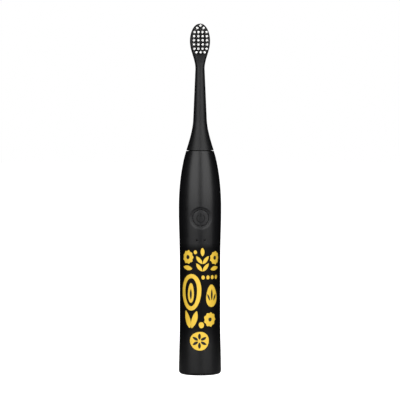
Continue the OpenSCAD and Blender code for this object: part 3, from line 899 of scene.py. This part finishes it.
@dataclass
class HandleShell:
    """The painted handle shell, with its button dish and lamp windows, in millimetres."""

    form: HandleForm
    button: Button
    windows: LampWindows
    nose: float = 7.6
    lip: float = 0.2
    sides: int = 200
    split: float = 12.7
    fine_below: float = 2.4
    fine_above: float = 9.6
    button_zone: float = 11.0
    seat_back: float = -10.6

    def profile(self) -> Outline:
        """The wall's outline: up the outside, over the lip and down the bore.

        Returns:
            Points of (radius, height).
        """
        form = self.form
        low, high = self.windows.spots[0][1] - self.fine_below, self.button.height + self.fine_above
        foot = [
            (form.base_radius - form.foot + out, form.foot - up)
            for out, up in arc(form.foot, range(0, 91, 9))
        ]
        lip_z = form.height - self.lip
        rows = steps(form.foot + 0.7, low, 1.0) + steps(low, high, 0.5)[1:] + steps(high, lip_z, 0.8)[1:]
        outside = [(form.radius(z), z) for z in rows]
        lip = [
            (form.radius(lip_z) - self.lip + out, lip_z + up)
            for up, out in arc(self.lip, range(15, 91, 15))
        ]
        rim = form.height + form.rim
        mouth = [
            (form.rim_radius + 0.06, form.height),
            (form.rim_radius, form.height + 0.06),
            (form.rim_radius, rim - 0.06),
            (form.rim_radius - 0.06, rim),
            (self.nose + 0.1, rim),
            (self.nose, rim - 0.1),
            (self.nose, form.height - form.wall),
        ]
        down = (
            steps(form.height - form.wall, high, 2.0)
            + steps(high, low, 0.5)[1:]
            + steps(low, 6.0, 12.0)[1:]
            + [0.3]
        )
        inside = [(form.inner(z), z) for z in down]
        return foot + outside + lip + mouth + inside + [(form.bore + 0.15, 0.0)]

    def skins(self, bm: BMesh, spot: tuple[float, float], reach: float) -> tuple[Faces, Faces]:
        """The outer and inner faces near a place on the front.

        Args:
            bm: the shell's mesh.
            spot: the place across and up.
            reach: how far from it a face may be.

        Returns:
            The outer faces and the inner faces.
        """
        outer, inner = [], []
        for face in bm.faces:
            at = face.calc_center_median()
            if at.y < 0 and abs(at.x - spot[0]) < reach and abs(at.z - spot[1]) < reach:
                (outer if math.hypot(at.x, at.y) > self.split else inner).append(face)
        return outer, inner

    def cut_button(self, bm: BMesh) -> None:
        """Cuts the button's dish, well and seat through the wall."""
        button, form = self.button, self.form
        spot = (0.0, button.height)
        outer, inner = self.skins(bm, spot, self.button_zone)
        first = button.dish[0][0]
        rim = open_round(bm, outer, spot, first + 0.3, form.front)
        for radius, depth in button.dish:
            rim = next_ring(bm, rim, button.ring_place(radius, depth))
        bore = button.radius + button.gap
        relief = button.flange + 0.15
        rim = next_ring(bm, rim, button.flat_place(bore, -button.seat - 0.1))
        rim = next_ring(bm, rim, button.flat_place(relief, -button.seat - 0.1))

        def seat_edge(at: Vector) -> Vector:
            return Vector((at.x, max(self.seat_back, form.inner_front(at.x, at.z)), at.z))

        rim = next_ring(bm, rim, seat_edge)
        back = open_round(bm, inner, spot, button.radius + 2.2, form.inner_front)
        bmesh.ops.bridge_loops(bm, edges=rim + back)

    def cut_window(self, bm: BMesh, spot: tuple[float, float]) -> None:
        """Drills one lamp window through the wall, from a finer patch of skin."""
        form, windows = self.form, self.windows
        for surface, index in ((form.front, 0), (form.inner_front, 1)):
            near = self.skins(bm, spot, windows.zone)[index]
            edges = list({edge for face in near for edge in face.edges})
            made = bmesh.ops.subdivide_edges(bm, edges=edges, cuts=windows.cuts, use_grid_fill=True)
            for vert in (g for g in made["geom_inner"] if isinstance(g, bmesh.types.BMVert)):
                vert.co.y = surface(vert.co.x, vert.co.z)
        outer, inner = self.skins(bm, spot, windows.zone)
        rim = open_round(bm, outer, spot, windows.radius + 0.1, form.front)
        rim = next_ring(bm, rim, windows.place(form, spot, windows.radius + 0.03, 0.03))
        rim = next_ring(bm, rim, windows.place(form, spot, windows.radius, 0.1))
        back = open_round(bm, inner, spot, windows.radius, form.inner_front)
        bmesh.ops.bridge_loops(bm, edges=rim + back)

    def build(self) -> None:
        """Builds the shell in place of its CAD node."""
        bm = turned(self.profile(), self.sides)
        self.cut_button(bm)
        for spot in self.windows.spots:
            self.cut_window(bm, spot)
        settle(bm, "handle_painted_shell", SOFT_TOUCH, "handle", "soft_touch_black", ("handle_shell",))


# ---- print ----


class Ink(Enum):
    """The two inks of the handle's pattern, each with the depths of its film's faces in mm."""

    YELLOW = (0.0, 0.03)
    BLACK = (0.02, 0.045)


class Shape(Enum):
    """The pattern's plain shapes."""

    PEBBLE = "pebble"
    PETAL = "petal"
    DROP = "drop"
    SUN = "sun"
    RING = "ring"


@dataclass(frozen=True)
class Mark:
    """One shape of the pattern: its middle round and up the handle, its size and its turn."""

    shape: Shape
    across: float
    up: float
    width: float
    tall: float
    turn: float = 0.0
    ink: Ink = Ink.YELLOW
    band: float = 2.9

    def outline(self, angle: float, inset: float = 0.0) -> tuple[float, float]:
        """A point of the shape's edge.

        Args:
            angle: the direction from the middle, in radians.
            inset: how far inside the edge the point lies.

        Returns:
            Its place across and up, about the shape's middle.
        """
        x, z = math.cos(angle), math.sin(angle)
        wobble = 1 + 0.025 * math.sin(3 * angle + self.across) + 0.02 * math.sin(2 * angle + self.up)
        if self.shape is Shape.PETAL:
            x *= (1 - z * z) ** 0.3
        elif self.shape is Shape.DROP:
            x *= 1 - 0.32 * (z + 1) / 2
        elif self.shape is Shape.SUN:
            wobble *= 0.93 + 0.07 * math.cos(9 * angle)
        half_wide = self.width / 2 - inset
        half_tall = self.tall / 2 - inset
        return x * half_wide * wobble, z * half_tall * wobble


@dataclass
class HandlePrint:
    """A plain pattern of flowers, leaves and pebbles, pad-printed round the front of the handle.

    Across is measured round the handle from its front, and every size is in millimetres.
    """

    form: HandleForm
    marks: list[Mark]
    slice_across: float = 0.9
    slice_up: float = 2.0
    left: float = -16.0
    right: float = 17.0
    low: float = 14.0
    high: float = 90.0
    segments: int = 54
    ground_low: float = 15.0
    ground_high: float = 90.1
    ground_proud: float = 0.012
    ground_sunk: float = 0.01
    ground_sides: int = 200

    @classmethod
    def laid_out(cls, form: HandleForm) -> "HandlePrint":
        """The pattern's layout: rows of flowers and leaves, a seed in a ring and a disc at the foot."""
        pebble, petal, drop, sun, ring = Shape
        yellow = [
            Mark(sun, -9.3, 80.9, 8.8, 9.4),
            Mark(petal, -9.6, 73.6, 3.2, 7.4, 80),
            Mark(pebble, -3.7, 84.4, 2.3, 2.7),
            Mark(sun, 10.6, 80.3, 8.4, 9.2),
            Mark(petal, 10.4, 73.2, 3.0, 6.8, -80),
            Mark(petal, 1.2, 84.5, 2.6, 5.8),
            Mark(ring, -7.0, 57.2, 14.8, 25.2),
            Mark(drop, -7.0, 56.7, 5.4, 13.6),
            Mark(drop, 8.0, 54.5, 10.4, 15.0),
            Mark(petal, -9.4, 38.3, 3.8, 12.6, 17),
            Mark(petal, -4.5, 38.3, 3.8, 12.6, -17),
            Mark(pebble, 0.4, 34.7, 3.6, 4.2),
            Mark(sun, 6.6, 38.4, 9.0, 10.2),
            Mark(pebble, -0.9, 23.8, 13.4, 12.5),
        ]
        leaves = [
            Mark(petal, 1.2 + side * 2.25, up, 2.5, 6.6, -38 * side)
            for up in (74.0, 79.0)
            for side in (-1, 1)
        ]
        dots = [Mark(pebble, across, 67.2, 2.4, 2.8) for across in (1.6, 5.0, 8.4, 11.8)]
        black = [
            Mark(pebble, -9.3, 80.9, 2.6, 2.8, ink=Ink.BLACK),
            Mark(pebble, 10.6, 80.3, 2.5, 2.7, ink=Ink.BLACK),
            Mark(petal, -7.0, 55.6, 1.6, 7.0, ink=Ink.BLACK),
            Mark(petal, 8.0, 55.3, 1.5, 7.6, ink=Ink.BLACK),
            Mark(petal, 5.6, 53.5, 1.2, 5.0, 24, ink=Ink.BLACK),
            Mark(petal, 10.4, 53.5, 1.2, 5.0, -24, ink=Ink.BLACK),
            Mark(pebble, 6.6, 38.4, 2.5, 2.8, ink=Ink.BLACK),
        ]
        turns = [(a, math.sin(math.radians(a)), math.cos(math.radians(a))) for a in range(0, 360, 60)]
        daisy = [
            Mark(petal, -0.9 + 3.2 * x, 23.8 + 3.1 * z, 1.9, 4.4, -a, Ink.BLACK) for a, x, z in turns
        ]
        return cls(form=form, marks=yellow + leaves + dots + black + daisy)

    def build_ground(self) -> None:
        """Builds the matt black ground that is printed round the handle under the pattern."""
        rows = steps(self.ground_low, self.ground_high, 1.0)
        outline = [(self.form.radius(z) + self.ground_proud, z) for z in rows]
        outline += [(self.form.radius(z) - self.ground_sunk, z) for z in reversed(rows)]
        bm = turned(outline, self.ground_sides)
        settle(bm, "handle_print_ground", GROUND_INK, "handle", "soft_touch_black")

    def draw(self, bm: BMesh, mark: Mark) -> None:
        """Adds one flat shape to the sheet of ink."""
        flat = Matrix.Rotation(math.radians(90), 4, "X")
        hollow = mark.shape is Shape.RING
        loops = [0.0, mark.band] if hollow else [0.0]
        swing = Matrix.Rotation(-math.radians(mark.turn), 4, "Y")
        edges = []
        for inset in loops:
            made = bmesh.ops.create_circle(
                bm, cap_ends=not hollow, segments=self.segments, radius=1.0, matrix=flat
            )
            for vert in made["verts"]:
                x, z = mark.outline(math.atan2(vert.co.z, vert.co.x), inset)
                vert.co = swing @ Vector((x, 0, z)) + Vector((mark.across, 0, mark.up))
            edges += list({edge for vert in made["verts"] for edge in vert.link_edges})
        if hollow:
            bmesh.ops.bridge_loops(bm, edges=edges)

    def wrap(self, bm: BMesh, ink: Ink) -> None:
        """Slices the flat film finely, gives it its thickness and rolls it round the handle."""
        cuts = [((x, 0, 0), (1, 0, 0)) for x in steps(self.left, self.right, self.slice_across)]
        cuts += [((0, 0, z), (0, 0, 1)) for z in steps(self.low, self.high, self.slice_up)]
        for point, normal in cuts:
            geom = bm.verts[:] + bm.edges[:] + bm.faces[:]
            bmesh.ops.bisect_plane(bm, geom=geom, dist=WELD, plane_co=point, plane_no=normal)
        low, high = ink.value
        bmesh.ops.recalc_face_normals(bm, faces=bm.faces[:])
        bmesh.ops.reverse_faces(bm, faces=[face for face in bm.faces if face.normal.y > 0])
        bmesh.ops.solidify(bm, geom=bm.faces[:], thickness=high - low)
        middle = (min(v.co.y for v in bm.verts) + max(v.co.y for v in bm.verts)) / 2
        for vert in bm.verts:
            out = self.form.radius(vert.co.z) + (high if vert.co.y > middle else low)
            angle = vert.co.x / self.form.waist_radius
            vert.co = (out * math.sin(angle), -out * math.cos(angle), vert.co.z)

    def build(self) -> None:
        """Builds the ground, then one film for each ink."""
        self.build_ground()
        dressing = {
            Ink.YELLOW: ("handle_print_yellow", YELLOW_INK, "print_ink"),
            Ink.BLACK: ("handle_print_black", BLACK_INK, "soft_touch_black"),
        }
        for ink, (name, finish, slot) in dressing.items():
            bm = bmesh.new()
            for mark in self.marks:
                if mark.ink is ink:
                    self.draw(bm, mark)
            self.wrap(bm, ink)
            settle(bm, name, finish, "handle", slot, sharp=50.0)


# ---- foot and nose of the handle ----


@dataclass
class BaseCap:
    """The moulded cap in the foot, with its charging socket and seal groove, in millimetres."""

    radius: float = 11.9
    thick: float = 4.2
    boss: float = 6.0
    boss_top: float = 15.5
    socket: float = 4.6
    socket_depth: float = 14.0
    sides: int = 128

    def build(self) -> None:
        """Builds the cap in place of its CAD node."""
        low, high = box_mm("base_seal_ring")
        groove = self.radius - (high.z - low.z) + 0.1
        outline = [
            (0.0, self.socket_depth), (self.socket - 0.35, self.socket_depth),
            (self.socket - 0.1, self.socket_depth - 0.1), (self.socket, self.socket_depth - 0.35),
            (self.socket, 0.5), (self.socket + 0.12, 0.18), (self.socket + 0.4, 0.0), (7.2, 0.0),
            (7.35, 0.05), (7.4, 0.2), (7.5, 0.3), (9.6, 0.3), (9.7, 0.2), (9.75, 0.05), (9.9, 0.0),
            (self.radius - 0.3, 0.0), (self.radius - 0.08, 0.09), (self.radius, 0.3),
            (self.radius, low.z - 0.05), (groove, low.z - 0.05), (groove, high.z + 0.05),
            (self.radius, high.z + 0.05), (self.radius, self.thick - 0.15),
            (self.radius - 0.15, self.thick), (self.boss + 0.4, self.thick),
            (self.boss + 0.1, self.thick + 0.1), (self.boss, self.thick + 0.4),
            (self.boss, self.boss_top - 0.3), (self.boss - 0.3, self.boss_top),
            (0.0, self.boss_top),
        ]
        bm = turned(outline, self.sides, closed=False)
        settle(bm, "base_moulded_cap", CAP_PLASTIC, "handle", "gloss_black", ("base_cap",))


@dataclass
class Nose:
    """The collar and the rubber shaft seal at the top of the handle, in millimetres."""

    top: float
    flange: float = 7.95
    radius: float = 7.55
    seal: float = 3.8
    shaft: float = 1.95
    sides: int = 128

    @classmethod
    def from_frame(cls) -> "Nose":
        """Takes the handle's top from the shell, less its raised rim."""
        return cls(top=box_mm("handle_shell")[1].z - HandleForm.rim)

    def build_collar(self) -> None:
        """Builds the collar, with its corners broken as a moulding's are."""
        base, step = self.top - 6, self.top - 2.0
        outline = [
            (self.seal, base), (self.flange - 1, base), (self.flange, base + 1),
            (self.flange, step - 0.1), (self.flange - 0.1, step), (self.radius, step),
            (self.radius, self.top + 0.1), (self.radius - 0.04, self.top + 0.3),
            (self.radius - 0.14, self.top + 0.46), (self.radius - 0.32, self.top + 0.58),
            (6.6, self.top + 1.25), (5.4, self.top + 3.6), (5.1, self.top + 4.3),
            (4.9, self.top + 4.7), (4.68, self.top + 4.92), (4.4, self.top + 5.0),
            (self.seal + 0.15, self.top + 5.0), (self.seal, self.top + 4.85),
        ]
        bm = turned(outline, self.sides)
        settle(bm, "nose_moulded_collar", COLLAR_PLASTIC, "handle", "dark_plastic", ("nose_collar",))

    def build_seal(self) -> None:
        """Builds the seal: a plug in the collar and a lip that wipes the shaft."""
        base, brim = self.top - 6, self.top + 5
        outline = [
            (self.shaft, base), (self.seal, base), (self.seal, brim - 0.1),
            (self.seal - 0.1, brim + 0.02), (3.45, brim + 0.1), (3.2, brim + 0.32),
            (3.1, brim + 0.5), (2.9, brim + 0.58), (2.72, brim + 0.72), (2.66, brim + 0.95),
            (2.58, brim + 1.2), (2.4, brim + 1.36), (2.15, brim + 1.4), (self.shaft, brim + 1.3),
        ]
        bm = turned(outline, self.sides)
        finish = SLOT_FINISHES["black_rubber"]
        settle(bm, "nose_shaft_seal", finish, "handle", "black_rubber", ("shaft_seal",))


# ---- brush head ----


@dataclass
class BrushHead:
    """The head: a flared skirt, a slim neck and a flat plate full of tufts, in millimetres."""

    base: float
    tip: float
    lip_radius: float = 9.4
    lip: float = 0.2
    skirt: float = 21.2
    skirt_slope: float = -0.31
    root_radius: float = 4.65
    neck_radius: float = 3.15
    plate_half: float = 6.9
    plate_top: float = 12.0
    plate_blend: float = 19.0
    plate_front: float = 2.9
    plate_back: float = 2.3
    wall: float = 1.4
    roof: float = 9.1
    bore: float = 2.95
    bore_depth: float = 25.6
    edge: float = 0.9
    sides: int = 144
    tuft_radius: float = 0.825
    tuft_front: float = 10.4
    strand: float = 0.108
    strands: int = 52
    tuft_rows: tuple[tuple[int, float, float], ...] = (
        (1, 0, 1.9), (2, 4.2, 3.5), (4, 2.7, 6.3), (4, 2.9, 9.1), (4, 2.95, 11.9), (4, 2.95, 14.7),
        (4, 2.75, 17.6), (3, 2.75, 20.0),
    )

    @classmethod
    def from_frame(cls) -> "BrushHead":
        """Takes the head's two ends from its CAD node."""
        low, high = box_mm("brush_head_shell")
        return cls(base=low.z, tip=high.z)

    @property
    def skirt_top(self) -> float:
        """Where the skirt has drawn in to the neck."""
        return self.base + self.skirt

    @property
    def plate_mid(self) -> float:
        """The height where the plate is widest."""
        return self.tip - self.plate_top

    @property
    def neck_top(self) -> float:
        """Where the neck starts to widen into the plate."""
        return self.plate_mid - self.plate_blend

    def radius(self, z: float) -> float:
        """The blank's radius, before its front and back are flattened.

        Args:
            z: the height.

        Returns:
            The radius.
        """
        slope = (self.neck_radius - self.root_radius) / (self.neck_top - self.skirt_top)
        if z < self.skirt_top:
            t = (z - self.base) / self.skirt
            ends = self.lip_radius * (2 * t**3 - 3 * t * t + 1) + self.root_radius * (3 * t * t - 2 * t**3)
            leans = self.skirt_slope * (t**3 - 2 * t * t + t) + slope * (t**3 - t * t)
            return ends + self.skirt * leans
        if z < self.neck_top:
            return self.root_radius + slope * (z - self.skirt_top)
        if z < self.plate_mid:
            widening = ease((z - self.neck_top) / self.plate_blend)
            return self.neck_radius + (self.plate_half - self.neck_radius) * widening
        return self.plate_half * math.sqrt(max(0.0, 1 - ((z - self.plate_mid) / self.plate_top) ** 2))

    def profile(self) -> Outline:
        """The blank's outline, from the blind bore round the skirt to the tip.

        Returns:
            Points of (radius, height).
        """
        roof = self.base + self.roof
        cavity = [(0.0, self.base + self.bore_depth), (self.bore, self.base + self.bore_depth)]
        cavity += [(self.bore, roof + 0.3), (self.bore + 0.3, roof)]
        inside = [(self.radius(z) - self.wall, z) for z in steps(roof, self.base + 0.3, 1.2)]
        cavity += [(inside[0][0] - 0.4, roof), *inside, (inside[-1][0] + 0.25, self.base)]
        lip = [
            (self.radius(self.base + self.lip) - self.lip + out, self.base + self.lip - up)
            for out, up in arc(self.lip, range(0, 91, 15))
        ]
        heights = steps(self.base + self.lip + 0.5, self.skirt_top, 0.7)
        heights += steps(self.skirt_top, self.neck_top - 4, 1.6)[1:]
        heights += steps(self.neck_top - 4, self.plate_mid, 0.6)[1:]
        outside = [(self.radius(z), z) for z in heights]
        crown = [
            (
                self.plate_half * math.cos(math.radians(a)),
                self.plate_mid + self.plate_top * math.sin(math.radians(a)),
            )
            for a in range(3, 91, 3)
        ]
        return cavity + lip + outside + crown

    def build_body(self) -> None:
        """Builds the head in place of its CAD node: the turned blank, flattened front and back."""
        bm = turned(self.profile(), self.sides, closed=False)
        neck, mid, back = self.neck_top, self.plate_mid, self.plate_back
        fronts = [(neck - 4, 4.2), (neck + 4, self.plate_front), (self.tip, self.plate_front)]
        backs = [(neck - 4, 4.2), (neck + 5, back + 0.45), (mid, back), (self.tip - 2, back - 0.4)]
        for vert in bm.verts:
            if vert.co.z > neck - 4:
                limit = along(fronts if vert.co.y < 0 else backs, vert.co.z)
                kept = soft_limit(abs(vert.co.y), limit, self.edge)
                vert.co.y = math.copysign(kept, vert.co.y)
        settle(bm, "head_moulded_body", HEAD_PLASTIC, "brush_head", "head_black", ("brush_head_shell",))

    def strand_mesh(self) -> bpy.types.Mesh:
        """One filament along -Y, of unit length: six sides and an end-rounded tip."""
        bm = bmesh.new()
        flat = Matrix.Rotation(math.radians(90), 4, "X")
        bmesh.ops.create_circle(bm, cap_ends=True, segments=6, radius=self.strand, matrix=flat)
        rim = bm.edges[:]
        for shrink, y in ((1.0, -0.992), (0.85, -0.997), (0.5, -1.0)):
            size = self.strand * shrink
            rim = next_ring(bm, rim, lambda at: Vector((at.x, 0, at.z)).normalized() * size)
            for vert in {v for edge in rim for v in edge.verts}:
                vert.co.y = y
        bmesh.ops.contextual_create(bm, geom=rim)
        return mesh_of(bm, "strand")

    def build_tufts(self) -> None:
        """Builds every tuft as a bundle of filaments that lean and end a little unevenly."""
        chance = random.Random(26)
        strand = self.strand_mesh()
        bm = bmesh.new()
        golden = math.pi * (3 - math.sqrt(5))
        root = self.plate_front - 0.35
        for count, pitch, depth in self.tuft_rows:
            for place in range(count):
                middle = Vector(((place - (count - 1) / 2) * pitch, 0, self.tip - depth))
                for i in range(self.strands):
                    ring = math.sqrt((i + 0.5) / self.strands) * (self.tuft_radius - self.strand)
                    turn = i * golden + chance.uniform(-0.25, 0.25)
                    foot = Vector((ring * math.cos(turn), -root, ring * math.sin(turn)))
                    lean = foot.x * 0.004 + chance.gauss(0, 0.004), foot.z * 0.004 + chance.gauss(0, 0.004)
                    length = self.tuft_front - root - chance.uniform(0.0, 0.07)
                    before = len(bm.verts)
                    bm.from_mesh(strand)
                    bm.verts.ensure_lookup_table()
                    for vert in bm.verts[before:]:
                        out = -vert.co.y * length
                        x = vert.co.x + foot.x + lean[0] * out
                        z = vert.co.z + foot.z + lean[1] * out
                        vert.co = middle + Vector((x, -root - out, z))
        bpy.data.meshes.remove(strand)
        settle(bm, "head_nylon_tufts", NYLON, "brush_head", "bristle", ("bristle_tufts",), sharp=50.0)


# ---- carried CAD nodes ----


def dress_cad_nodes() -> None:
    """Gives every CAD node its slot's finish, and smooth shading that keeps its crisp edges."""
    slots = {row["node"]: row["material_slot"] for row in frame["record"]["subparts"]}
    for name, node in frame["nodes"].items():
        finish = SLOT_FINISHES[slots[name]]
        node.data.materials.clear()
        node.data.materials.append(finish.build())
        if node.hide_render:
            continue
        node.data.shade_smooth()
        node.modifiers.new("weld", "WELD").merge_threshold = WELD * MM
        node.modifiers.new("crisp", "EDGE_SPLIT").split_angle = math.radians(CRISP_ANGLE)
        log.info("%s: carried from the frame, %s", name, finish.name)


# ---- studio ----


@dataclass(frozen=True)
class SoftBox:
    """A soft light: where it hangs, what size it is and how bright it is."""

    name: str
    at: tuple[float, float, float]
    aim: tuple[float, float, float]
    size: tuple[float, float]
    watts: float
    in_reflections: bool = True

    def build(self) -> None:
        """Hangs the light, turned to its aim."""
        lamp = bpy.data.lights.new(self.name, "AREA")
        lamp.shape = "RECTANGLE"
        lamp.size, lamp.size_y = self.size
        lamp.energy = self.watts
        holder = placed(self.name, lamp)
        holder.location = self.at
        look = Vector(self.aim) - Vector(self.at)
        holder.rotation_euler = look.to_track_quat("-Z", "Y").to_euler()
        holder.visible_glossy = self.in_reflections
        holder.visible_camera = False


@dataclass
class Studio:
    """A pale floor, plain soft light and the camera, in metres."""

    distance: float = 1.3
    eye: float = 0.176
    aim: float = 0.1193
    turn: float = 2.2
    lens: float = 170.8
    near_floor: float = 0.12
    floor_half: float = 6.0
    room_glow: float = 0.005
    backdrop_glow: float = 1.0

    def paper(self, name: str, tint: str, glow: float) -> bpy.types.Material:
        """Plain paper of one tint, with a glow of its own that keeps it even."""
        material = bpy.data.materials.new(name)
        tree = blank_tree(material)
        shader = add_node(
            tree,
            PRINCIPLED,
            inputs={
                "Base Color": linear(tint),
                "Roughness": 0.9,
                "Emission Color": linear("#ffffff"),
                "Emission Strength": glow,
            },
        )
        add_node(tree, "ShaderNodeOutputMaterial", inputs={"Surface": shader.outputs["BSDF"]})
        return material

    def lay(self, name: str, bm: BMesh, material: bpy.types.Material) -> bpy.types.Object:
        """Turns a flat mesh into a piece of the floor."""
        mesh = mesh_of(bm, name)
        mesh.materials.append(material)
        sheet = placed(name, mesh)
        return sheet

    def build_floor(self) -> None:
        """Lays a plain pale floor that reads as the same white as the backdrop.

        The object's gloss sees only the near part of it, as if the table ended there.
        """
        wide = bmesh.new()
        bmesh.ops.create_grid(wide, x_segments=1, y_segments=1, size=self.floor_half)
        floor = self.lay("floor", wide, self.paper("floor_paper", "#f4f4f4", 1.1))
        floor.visible_glossy = False
        floor.visible_diffuse = False
        near = bmesh.new()
        bmesh.ops.create_circle(near, cap_ends=True, segments=64, radius=self.near_floor)
        bmesh.ops.translate(near, vec=(0, 0, -0.1 * MM), verts=near.verts[:])
        table = self.paper("near_floor_paper", "#a8a8a8", 0.05)
        self.lay("floor_near", near, table).visible_camera = False

    def build_world(self) -> None:
        """Sets a white backdrop that the object's own reflections see as a dim room."""
        world = bpy.data.worlds.new("studio")
        bpy.context.scene.world = world
        tree = blank_tree(world)
        path = add_node(tree, "ShaderNodeLightPath")
        room, white = (
            add_node(tree, "ShaderNodeBackground", inputs={"Color": linear("#ffffff"), "Strength": glow})
            for glow in (self.room_glow, self.backdrop_glow)
        )
        seen = path.outputs["Is Camera Ray"], room.outputs["Background"], white.outputs["Background"]
        both = add_node(tree, "ShaderNodeMixShader", inputs=dict(enumerate(seen)))
        add_node(tree, "ShaderNodeOutputWorld", inputs={"Surface": both.outputs["Shader"]})

    def build_lights(self) -> None:
        """Hangs soft boxes at both front corners, overhead and behind, and a broad fill."""
        boxes = [
            SoftBox("left_box", (-0.64, -0.85, 0.65), (0, 0, 0.65), (1.18, 1.2), 10),
            SoftBox("right_box", (0.64, -0.85, 0.65), (0, 0, 0.65), (1.18, 1.2), 10),
            SoftBox("top_box", (0.0, -0.5, 1.3), (0, 0, 0.1), (1.0, 0.6), 4),
            SoftBox("fill", (0.0, -1.6, 0.5), (0, 0, 0.12), (1.6, 1.2), 22, in_reflections=False),
            SoftBox("back_box", (0.0, 1.5, 0.9), (0, 0, 0.12), (0.5, 0.8), 6),
        ]
        for box in boxes:
            box.build()

    def build_camera(self) -> None:
        """Stands the camera a turn's degrees left of the front, a little above the handle's middle."""
        camera = bpy.data.cameras.new("camera")
        camera.lens = self.lens
        camera.clip_start = 0.05
        camera.clip_end = 30.0
        holder = placed("camera", camera)
        turn = math.radians(self.turn)
        holder.location = (-self.distance * math.sin(turn), -self.distance * math.cos(turn), self.eye)
        look = Vector((0, 0, self.aim)) - holder.location
        holder.rotation_euler = look.to_track_quat("-Z", "Y").to_euler()
        bpy.context.scene.camera = holder
        bpy.context.scene.view_settings.view_transform = "Standard"

    def build(self) -> None:
        """Builds the whole studio."""
        self.build_camera()
        self.build_floor()
        self.build_world()
        self.build_lights()


def main() -> None:
    """Builds the studio and every sub-assembly, then dresses what the frame carries."""
    logging.basicConfig(level=logging.INFO, format="%(name)s %(message)s")
    Studio().build()
    form = HandleForm.from_frame()
    button = Button.from_frame(form)
    HandleShell(form, button, LampWindows.from_frame()).build()
    button.build_cap()
    button.build_mark()
    HandlePrint.laid_out(form).build()
    BaseCap().build()
    nose = Nose.from_frame()
    nose.build_collar()
    nose.build_seal()
    head = BrushHead.from_frame()
    head.build_body()
    head.build_tufts()
    dress_cad_nodes()


if __name__ == "__main__":
    main()
